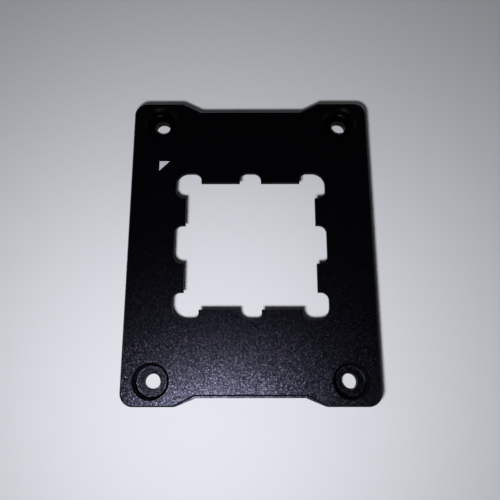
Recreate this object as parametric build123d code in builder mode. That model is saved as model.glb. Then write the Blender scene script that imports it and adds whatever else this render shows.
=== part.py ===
"""CPU socket retention frame: one plate milled from aluminium bar stock.

Millimetres. The origin is the middle of the underside, +Z is up, X is the short way across
and Y the long way. The frame is sized outwards from the processor: window, lip, socket pocket,
screws, edge.
"""

import os

from build123d import *

# Window for the processor's heat spreader: tabs reach in between the spreader's legs,
# and each leg has a lobe of its own, at the corners and in the middle of the sides
TAB_GAP_X = 34.0
TAB_GAP_Y = 34.0
LOBE_REACH = 2.75
END_LOBE_WIDTH = 5.6
SIDE_LOBE_WIDTH = 10.3
LOBE_RADIUS = 2.0
CORNER_LOBE_X = 6.7
CORNER_LOBE_Y = 7.15
CORNER_LOBE_RADIUS = 3.4

# Lip round the window, left over the pocket that takes the socket's body from below
LIP_THICKNESS = 1.1
LIP_WIDTH_X = 6.75
LIP_WIDTH_Y = 6.6
POCKET_RADIUS = 3.0

# Four corner screws, with their heads sunk below the top face
SCREW_HOLE = 4.1
SCREW_HEAD_HOLE = 7.9
SCREW_HEAD_DEPTH = 3.0
SCREW_FLOOR_RADIUS = 0.15
SCREW_RIM_CHAMFER = 0.62
SCREW_TO_POCKET = 4.25
SCREW_TO_END = 6.01
SCREW_TO_SIDE = 7.32

# Plate
RAIL_WIDTH = 5.25
THICKNESS = 5.5
CORNER_RADIUS = 3.3
EDGE_BREAK = 0.35

# Notches in the two short ends, with a low ledge left along their foot
NOTCH_MOUTH = 37.3
NOTCH_FLOOR = 27.4
NOTCH_DEPTH = 2.55
NOTCH_CORNER_RADIUS = 0.6
LEDGE_WIDTH = 0.5
LEDGE_HEIGHT = 2.5

# Sizes that follow from the ones above
lobe_gap_x = TAB_GAP_X + 2 * LOBE_REACH
lobe_gap_y = TAB_GAP_Y + 2 * LOBE_REACH
pocket_x = lobe_gap_x + 2 * LIP_WIDTH_X
pocket_y = lobe_gap_y + 2 * LIP_WIDTH_Y
pocket_depth = THICKNESS - LIP_THICKNESS
width = pocket_x + 2 * RAIL_WIDTH
screw_spacing_x = width - 2 * SCREW_TO_SIDE
screw_spacing_y = pocket_y + 2 * SCREW_TO_POCKET + SCREW_HEAD_HOLE
length = screw_spacing_y + 2 * SCREW_TO_END
screw_floor = THICKNESS - SCREW_HEAD_DEPTH


def end_notches(depth):
    """The trapezoid notches of both short ends, cut to the given depth."""
    with BuildSketch() as notches:
        with BuildLine():
            Polyline(
                (-NOTCH_MOUTH / 2, length / 2),
                (-NOTCH_FLOOR / 2, length / 2 - depth),
                (NOTCH_FLOOR / 2, length / 2 - depth),
                (NOTCH_MOUTH / 2, length / 2),
                close=True,
            )
        make_face()
        fillet(notches.vertices().group_by(Axis.Y)[0], NOTCH_CORNER_RADIUS)
        mirror(about=Plane.XZ)
    return notches.sketch


def spreader_window():
    """The tabbed window: a plain opening, two bars of mid-side lobes and four corner lobes."""
    with BuildSketch() as window:
        with Locations((lobe_gap_x / 2, lobe_gap_y / 2)):
            Rectangle(CORNER_LOBE_X, CORNER_LOBE_Y, align=(Align.MAX, Align.MAX))
        fillet(window.vertices().sort_by_distance((0, 0))[1:3], LOBE_RADIUS)
        fillet(window.vertices().sort_by_distance((0, 0))[-1], CORNER_LOBE_RADIUS)
        mirror(about=Plane.YZ)
        mirror(about=Plane.XZ)
        Rectangle(TAB_GAP_X, TAB_GAP_Y)
        RectangleRounded(END_LOBE_WIDTH, lobe_gap_y, LOBE_RADIUS)
        RectangleRounded(lobe_gap_x, SIDE_LOBE_WIDTH, LOBE_RADIUS)
    return window.sketch


def head_hole_edges(height):
    """The circles of the four screw-head holes at one height."""
    circles = frame.edges().filter_by(GeomType.CIRCLE).filter_by_position(Axis.Z, height, height)
    return circles.filter_by(lambda edge: abs(edge.radius - SCREW_HEAD_HOLE / 2) < 1e-6)


with BuildPart() as frame:
    # Outline, with the shallow notch all the way up and the deep one above the ledge
    with BuildSketch():
        RectangleRounded(width, length, CORNER_RADIUS)
        add(end_notches(NOTCH_DEPTH - LEDGE_WIDTH), mode=Mode.SUBTRACT)
    extrude(amount=THICKNESS)
    with BuildSketch(Plane.XY.offset(LEDGE_HEIGHT)):
        add(end_notches(NOTCH_DEPTH))
    extrude(amount=THICKNESS - LEDGE_HEIGHT, mode=Mode.SUBTRACT)

    # Broken edges round the outside, top and bottom
    top_edges = frame.faces().sort_by(Axis.Z)[-1].edges()
    bottom_edges = frame.faces().sort_by(Axis.Z)[0].edges()
    chamfer(top_edges + bottom_edges, EDGE_BREAK)

    # Socket pocket from below, then the window through the lip that it leaves
    with BuildSketch():
        RectangleRounded(pocket_x, pocket_y, POCKET_RADIUS)
    extrude(amount=pocket_depth, mode=Mode.SUBTRACT)
    with BuildSketch():
        add(spreader_window())
    extrude(amount=THICKNESS, mode=Mode.SUBTRACT)

    # Screw holes: sunk head, rounded floor corner and chamfered rim
    with Locations((0, 0, THICKNESS)):
        with GridLocations(screw_spacing_x, screw_spacing_y, 2, 2):
            CounterBoreHole(SCREW_HOLE / 2, SCREW_HEAD_HOLE / 2, SCREW_HEAD_DEPTH)
    fillet(head_hole_edges(screw_floor), SCREW_FLOOR_RADIUS)
    chamfer(head_hole_edges(THICKNESS), SCREW_RIM_CHAMFER)

frame.part.label = "retention_frame"

os.makedirs("parts", exist_ok=True)
export_step(frame.part, "parts/retention_frame.step")
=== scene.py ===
"""Looks of a CPU socket retention frame: a bead-blasted, black anodised aluminium plate.

Metres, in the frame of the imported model: the origin is the middle of the underside, +Z is up.
"""

import math

import bpy
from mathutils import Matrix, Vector


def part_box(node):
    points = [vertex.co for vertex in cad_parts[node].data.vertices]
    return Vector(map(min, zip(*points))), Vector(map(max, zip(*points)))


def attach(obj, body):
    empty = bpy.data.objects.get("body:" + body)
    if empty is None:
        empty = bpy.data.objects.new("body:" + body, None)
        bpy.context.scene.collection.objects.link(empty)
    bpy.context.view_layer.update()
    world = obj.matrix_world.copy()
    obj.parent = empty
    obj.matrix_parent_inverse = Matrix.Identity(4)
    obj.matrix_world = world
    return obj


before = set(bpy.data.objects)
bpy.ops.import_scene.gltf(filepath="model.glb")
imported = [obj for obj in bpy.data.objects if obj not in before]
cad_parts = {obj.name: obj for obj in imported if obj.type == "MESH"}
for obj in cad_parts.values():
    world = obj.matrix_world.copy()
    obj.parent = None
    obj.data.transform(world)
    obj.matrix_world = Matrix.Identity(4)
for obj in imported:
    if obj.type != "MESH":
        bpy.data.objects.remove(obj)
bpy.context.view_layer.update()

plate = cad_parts["retention_frame"]
plate_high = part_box("retention_frame")[1]
TOP = plate_high[2]
MM = 0.001

# Photograph's viewpoint
CAMERA_PLACE = (-0.087 * MM, -37.508 * MM, 137.024 * MM)
CAMERA_TILT = math.radians(14.097)
CAMERA_PAN = math.radians(0.160)
CAMERA_ROLL = math.radians(-0.087)
SENSOR_WIDTH = 36.0
LENS = 38.142
SHIFT_X = 0.0025
SHIFT_Y = 0.0220
NEAREST_SEEN = 0.001
FURTHEST_SEEN = 20.0

# Lamp beside the camera: a small oval softbox that faces the frame's window
LAMP_PLACE = (-17.8 * MM, -59.9 * MM, 132.2 * MM)
LAMP_AIM = (0.0, 20.0 * MM, 0.0)
LAMP_SIZE = (24.0 * MM, 16.0 * MM)
LAMP_POWER = 0.181

# Room: how high its pale walls reach, as the sine of the elevation, and how bright it is
WALLS_END = 0.10
CEILING_STARTS = 0.40
WALL_LIGHT = 0.45
CEILING_LIGHT = 0.028
ROOM_WHITE = (1.0, 1.0, 1.0, 1.0)

# Table
TABLE_SPAN = 4.0
TABLE_WHITE = (0.80, 0.82, 0.88, 1.0)
TABLE_ROUGHNESS = 0.8

# Pin-one mark: a right triangle, by its square corner and its two legs
MARK_CORNER = (-24.39 * MM, 23.19 * MM)
MARK_LEG_X = 2.70 * MM
MARK_LEG_Y = 2.70 * MM
MARK_THICKNESS = 0.02 * MM

# Bead-blast grain: the coarse dimples' size, the fine ones' share of it, how much further both
# lean across the rolled stock than along it, and the colour casts between which they vary
DIMPLE_SIZE = 0.185 * MM
FINE_DIMPLE = 0.4
LEAN_ACROSS = (1.55, 1.0, 1.0)
WARM_CAST = (1.0, 0.82, 0.80, 1.0)
COOL_CAST = (0.80, 1.0, 1.03, 1.0)

# Black anodising: on the blasted flats, and on the cut edges and milled walls, whose darker black is
# painted shade; the two are told apart by how much of the normal points up or down
FLATS_START = 0.90
FLATS_FULL = 0.98
WALLS_FULL = 0.1
WALLS_STOP = 0.5
FLAT_TILT = 0.122
FLAT_ROUGHNESS = 0.262
WALL_ROUGHNESS = 0.55
DIMPLE_DARK = (0.0095, 0.0100, 0.0152, 1.0)
DIMPLE_BRIGHT = (0.0343, 0.0363, 0.0552, 1.0)
# Painted shade: the cut edges and milled walls get a darker black than the flats
SHADED_SIDE_BLACK = (0.010, 0.010, 0.012, 1.0)
GRAZING_TINT = (0.7, 0.7, 0.7, 1.0)

# Screw seats, darker than the blasted top: their axes, and the radii between which that fades
SCREW_TO_SIDE = 7.32 * MM
SCREW_TO_END = 6.01 * MM
SCREW_AXIS = (plate_high[0] - SCREW_TO_SIDE, plate_high[1] - SCREW_TO_END, 0.0)
SEAT_INNER = 3.3 * MM
SEAT_OUTER = 3.5 * MM
SEAT_SHADE = 0.5

# Etched oxide
ETCHED_DARK = (0.48, 0.47, 0.55, 1.0)
ETCHED_BRIGHT = (0.66, 0.65, 0.75, 1.0)
ETCHED_TILT = 0.12
ETCHED_ROUGHNESS = 0.75


def add_node(tree, kind, **values):
    """A shader node with its properties, or its inputs by name, set."""
    node = tree.nodes.new(kind)
    for name, value in values.items():
        if hasattr(node, name):
            setattr(node, name, value)
        else:
            node.inputs[name.replace("_", " ")].default_value = value
    return node


def new_material(name):
    """A material that holds only an output and a Principled BSDF."""
    material = bpy.data.materials.new(name)
    material.use_nodes = True
    tree = material.node_tree
    return material, tree, tree.nodes["Principled BSDF"]


def between(tree, value, start, stop, at_start=0.0, at_stop=1.0):
    """A value that runs from at_start to at_stop while the given one runs from start to stop."""
    step = add_node(tree, "ShaderNodeMapRange", From_Min=start, From_Max=stop)
    step.inputs["To Min"].default_value = at_start
    step.inputs["To Max"].default_value = at_stop
    tree.links.new(value, step.inputs["Value"])
    return step.outputs["Result"]


def shades(tree, value, first, last):
    """A colour that runs from the first to the last as the value runs from 0 to 1."""
    ramp = add_node(tree, "ShaderNodeValToRGB")
    ramp.color_ramp.elements[0].color = first
    ramp.color_ramp.elements[1].color = last
    tree.links.new(value, ramp.inputs["Fac"])
    return ramp.outputs["Color"]


def multiplied(tree, first, second):
    """Two colours multiplied."""
    mix = add_node(tree, "ShaderNodeMix", data_type="RGBA", blend_type="MULTIPLY")
    mix.inputs["Factor"].default_value = 1.0
    tree.links.new(first, mix.inputs["A"])
    tree.links.new(second, mix.inputs["B"])
    return mix.outputs["Result"]


def blast_grain_group():
    """Bead-blast dimples in two sizes, each with its own tilt, brightness and slight colour cast."""
    group = bpy.data.node_groups.new("blast_grain", "ShaderNodeTree")
    sockets = group.interface
    sockets.new_socket("Dimple Size", in_out="INPUT", socket_type="NodeSocketFloat")
    sockets.new_socket("Tilt", in_out="INPUT", socket_type="NodeSocketFloat")
    sockets.new_socket("Normal", in_out="OUTPUT", socket_type="NodeSocketVector")
    sockets.new_socket("Cast", in_out="OUTPUT", socket_type="NodeSocketColor")
    sockets.new_socket("Sparkle", in_out="OUTPUT", socket_type="NodeSocketFloat")
    link = group.links.new
    given = add_node(group, "NodeGroupInput")
    result = add_node(group, "NodeGroupOutput")
    place = add_node(group, "ShaderNodeTexCoord")
    lean = add_node(group, "ShaderNodeNewGeometry").outputs["Normal"]
    for share in (FINE_DIMPLE, 1.0):
        per_dimple = add_node(group, "ShaderNodeMath", operation="DIVIDE")
        per_dimple.inputs[0].default_value = 1.0 / share
        link(given.outputs["Dimple Size"], per_dimple.inputs[1])
        cells = add_node(group, "ShaderNodeTexVoronoi")
        link(place.outputs["Object"], cells.inputs["Vector"])
        link(per_dimple.outputs[0], cells.inputs["Scale"])
        centred = add_node(group, "ShaderNodeVectorMath", operation="SUBTRACT")
        centred.inputs[1].default_value = (0.5, 0.5, 0.5)
        link(cells.outputs["Color"], centred.inputs[0])
        across = add_node(group, "ShaderNodeVectorMath", operation="MULTIPLY")
        across.inputs[1].default_value = LEAN_ACROSS
        link(centred.outputs[0], across.inputs[0])
        tilted = add_node(group, "ShaderNodeVectorMath", operation="SCALE")
        link(across.outputs[0], tilted.inputs[0])
        link(given.outputs["Tilt"], tilted.inputs["Scale"])
        leaning = add_node(group, "ShaderNodeVectorMath", operation="ADD")
        link(lean, leaning.inputs[0])
        link(tilted.outputs[0], leaning.inputs[1])
        lean = leaning.outputs[0]
    unit = add_node(group, "ShaderNodeVectorMath", operation="NORMALIZE")
    link(lean, unit.inputs[0])
    link(unit.outputs[0], result.inputs["Normal"])

    # Brightness and cast go by the coarse dimple
    chances = add_node(group, "ShaderNodeSeparateColor")
    link(cells.outputs["Color"], chances.inputs["Color"])
    link(chances.outputs["Blue"], result.inputs["Sparkle"])
    link(shades(group, chances.outputs["Green"], WARM_CAST, COOL_CAST), result.inputs["Cast"])
    return group


def seat_shade(tree, place):
    """A shade over the floor of the nearest screw seat, which fades out short of the seat's wall."""
    link = tree.links.new
    mirrored = add_node(tree, "ShaderNodeVectorMath", operation="ABSOLUTE")
    link(place, mirrored.inputs[0])
    level = add_node(tree, "ShaderNodeVectorMath", operation="MULTIPLY")
    level.inputs[1].default_value = (1.0, 1.0, 0.0)
    link(mirrored.outputs[0], level.inputs[0])
    off_axis = add_node(tree, "ShaderNodeVectorMath", operation="DISTANCE")
    off_axis.inputs[1].default_value = SCREW_AXIS
    link(level.outputs[0], off_axis.inputs[0])
    return between(tree, off_axis.outputs["Value"], SEAT_INNER, SEAT_OUTER, SEAT_SHADE)


def anodised_black(grain):
    """Black anodised aluminium: sparkling blasted flats; cut edges and dull milled walls in painted
    shade.
    """
    material, tree, shader = new_material("anodised_black")
    link = tree.links.new
    shader.inputs["Metallic"].default_value = 1.0
    shader.inputs["Specular Tint"].default_value = GRAZING_TINT
    place = add_node(tree, "ShaderNodeTexCoord")
    facing = add_node(tree, "ShaderNodeSeparateXYZ")
    link(place.outputs["Normal"], facing.inputs[0])
    upright = add_node(tree, "ShaderNodeMath", operation="ABSOLUTE")
    link(facing.outputs["Z"], upright.inputs[0])
    flat = between(tree, upright.outputs[0], FLATS_START, FLATS_FULL)

    # Dimples on the flats alone
    tilt = add_node(tree, "ShaderNodeMath", operation="MULTIPLY")
    tilt.inputs[1].default_value = FLAT_TILT
    link(flat, tilt.inputs[0])
    dimples = add_node(tree, "ShaderNodeGroup", node_tree=grain)
    dimples.inputs["Dimple Size"].default_value = DIMPLE_SIZE
    link(tilt.outputs[0], dimples.inputs["Tilt"])
    link(dimples.outputs["Normal"], shader.inputs["Normal"])

    # Colour of the flats, darker in the screw seats, and the painted-shade black of everything else
    depth = shades(tree, dimples.outputs["Sparkle"], DIMPLE_DARK, DIMPLE_BRIGHT)
    blasted = multiplied(tree, depth, dimples.outputs["Cast"])
    seated = multiplied(tree, blasted, seat_shade(tree, place.outputs["Object"]))
    colour = add_node(tree, "ShaderNodeMix", data_type="RGBA")
    colour.inputs["A"].default_value = SHADED_SIDE_BLACK
    link(flat, colour.inputs["Factor"])
    link(seated, colour.inputs["B"])
    link(colour.outputs["Result"], shader.inputs["Base Color"])

    # Dull walls
    roughness = between(
        tree, upright.outputs[0], WALLS_FULL, WALLS_STOP, WALL_ROUGHNESS, FLAT_ROUGHNESS
    )
    link(roughness, shader.inputs["Roughness"])
    return material


def etched_grey(grain):
    """Laser-etched oxide: a pale matt grey that keeps the blasted grain."""
    material, tree, shader = new_material("etched_grey")
    shader.inputs["Roughness"].default_value = ETCHED_ROUGHNESS
    dimples = add_node(tree, "ShaderNodeGroup", node_tree=grain)
    dimples.inputs["Dimple Size"].default_value = DIMPLE_SIZE
    dimples.inputs["Tilt"].default_value = ETCHED_TILT
    grey = shades(tree, dimples.outputs["Sparkle"], ETCHED_DARK, ETCHED_BRIGHT)
    tree.links.new(grey, shader.inputs["Base Color"])
    tree.links.new(dimples.outputs["Normal"], shader.inputs["Normal"])
    return material


def pin_one_mark(material):
    """The etched triangle that shows the processor's first pin."""
    bpy.ops.object.select_all(action="DESELECT")
    x, y = MARK_CORNER
    middle = (x + MARK_LEG_X / 2, y - MARK_LEG_Y / 2, TOP)
    bpy.ops.mesh.primitive_plane_add(size=1.0, location=middle)
    mark = bpy.context.object
    mark.name = "pin_one_mark"
    mark.scale = (MARK_LEG_X, MARK_LEG_Y, 1.0)
    bpy.ops.object.transform_apply(location=True, rotation=True, scale=True)

    # Square cut down to a triangle
    bpy.ops.object.mode_set(mode="EDIT")
    bpy.ops.mesh.select_mode(type="VERT")
    bpy.ops.mesh.select_all(action="DESELECT")
    bpy.ops.object.mode_set(mode="OBJECT")
    far_corner = max(mark.data.vertices, key=lambda vertex: vertex.co.x - vertex.co.y)
    far_corner.select = True
    bpy.ops.object.mode_set(mode="EDIT")
    bpy.ops.mesh.delete(type="VERT")
    bpy.ops.mesh.select_all(action="SELECT")
    bpy.ops.mesh.edge_face_add()

    # Thickness
    bpy.ops.mesh.extrude_region_move(TRANSFORM_OT_translate={"value": (0.0, 0.0, MARK_THICKNESS)})
    bpy.ops.mesh.select_all(action="SELECT")
    bpy.ops.mesh.normals_make_consistent(inside=False)
    bpy.ops.object.mode_set(mode="OBJECT")
    mark.data.materials.append(material)
    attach(mark, "root")


def table_top():
    """A plain pale table for the frame to lie on."""
    material, _, shader = new_material("table_white")
    shader.inputs["Base Color"].default_value = TABLE_WHITE
    shader.inputs["Roughness"].default_value = TABLE_ROUGHNESS
    bpy.ops.object.select_all(action="DESELECT")
    bpy.ops.mesh.primitive_plane_add(size=TABLE_SPAN, location=(0.0, 0.0, 0.0))
    table = bpy.context.object
    table.name = "table"
    table.data.materials.append(material)


def key_lamp():
    """The oval lamp beside the camera."""
    lamp = bpy.data.lights.new("key_lamp", "AREA")
    lamp.shape = "ELLIPSE"
    lamp.size, lamp.size_y = LAMP_SIZE
    lamp.energy = LAMP_POWER
    holder = bpy.data.objects.new("key_lamp", lamp)
    holder.location = LAMP_PLACE
    beam = Vector(LAMP_AIM) - Vector(LAMP_PLACE)
    holder.rotation_euler = beam.to_track_quat("-Z", "Y").to_euler()
    bpy.context.collection.objects.link(holder)


def studio_walls():
    """A room with pale walls and a dark ceiling, which fills the shadows a little."""
    world = bpy.data.worlds.new("studio")
    world.use_nodes = True
    tree = world.node_tree
    background = tree.nodes["Background"]
    background.inputs["Color"].default_value = ROOM_WHITE
    direction = add_node(tree, "ShaderNodeTexCoord")
    split = add_node(tree, "ShaderNodeSeparateXYZ")
    tree.links.new(direction.outputs["Generated"], split.inputs[0])
    strength = between(
        tree, split.outputs["Z"], WALLS_END, CEILING_STARTS, WALL_LIGHT, CEILING_LIGHT
    )
    tree.links.new(strength, background.inputs["Strength"])
    bpy.context.scene.world = world


def photo_camera():
    """The camera at the photograph's viewpoint."""
    lens = bpy.data.cameras.new("camera")
    lens.sensor_width = SENSOR_WIDTH
    lens.lens = LENS
    lens.shift_x = SHIFT_X
    lens.shift_y = SHIFT_Y
    lens.clip_start = NEAREST_SEEN
    lens.clip_end = FURTHEST_SEEN
    camera = bpy.data.objects.new("camera", lens)
    camera.location = CAMERA_PLACE
    camera.rotation_mode = "ZYX"
    camera.rotation_euler = (CAMERA_TILT, CAMERA_PAN, CAMERA_ROLL)
    bpy.context.collection.objects.link(camera)
    bpy.context.scene.camera = camera


grain = blast_grain_group()
plate.data.materials.clear()
plate.data.materials.append(anodised_black(grain))
pin_one_mark(etched_grey(grain))
table_top()
key_lamp()
studio_walls()
photo_camera()
bpy.context.scene.view_settings.view_transform = "Standard"
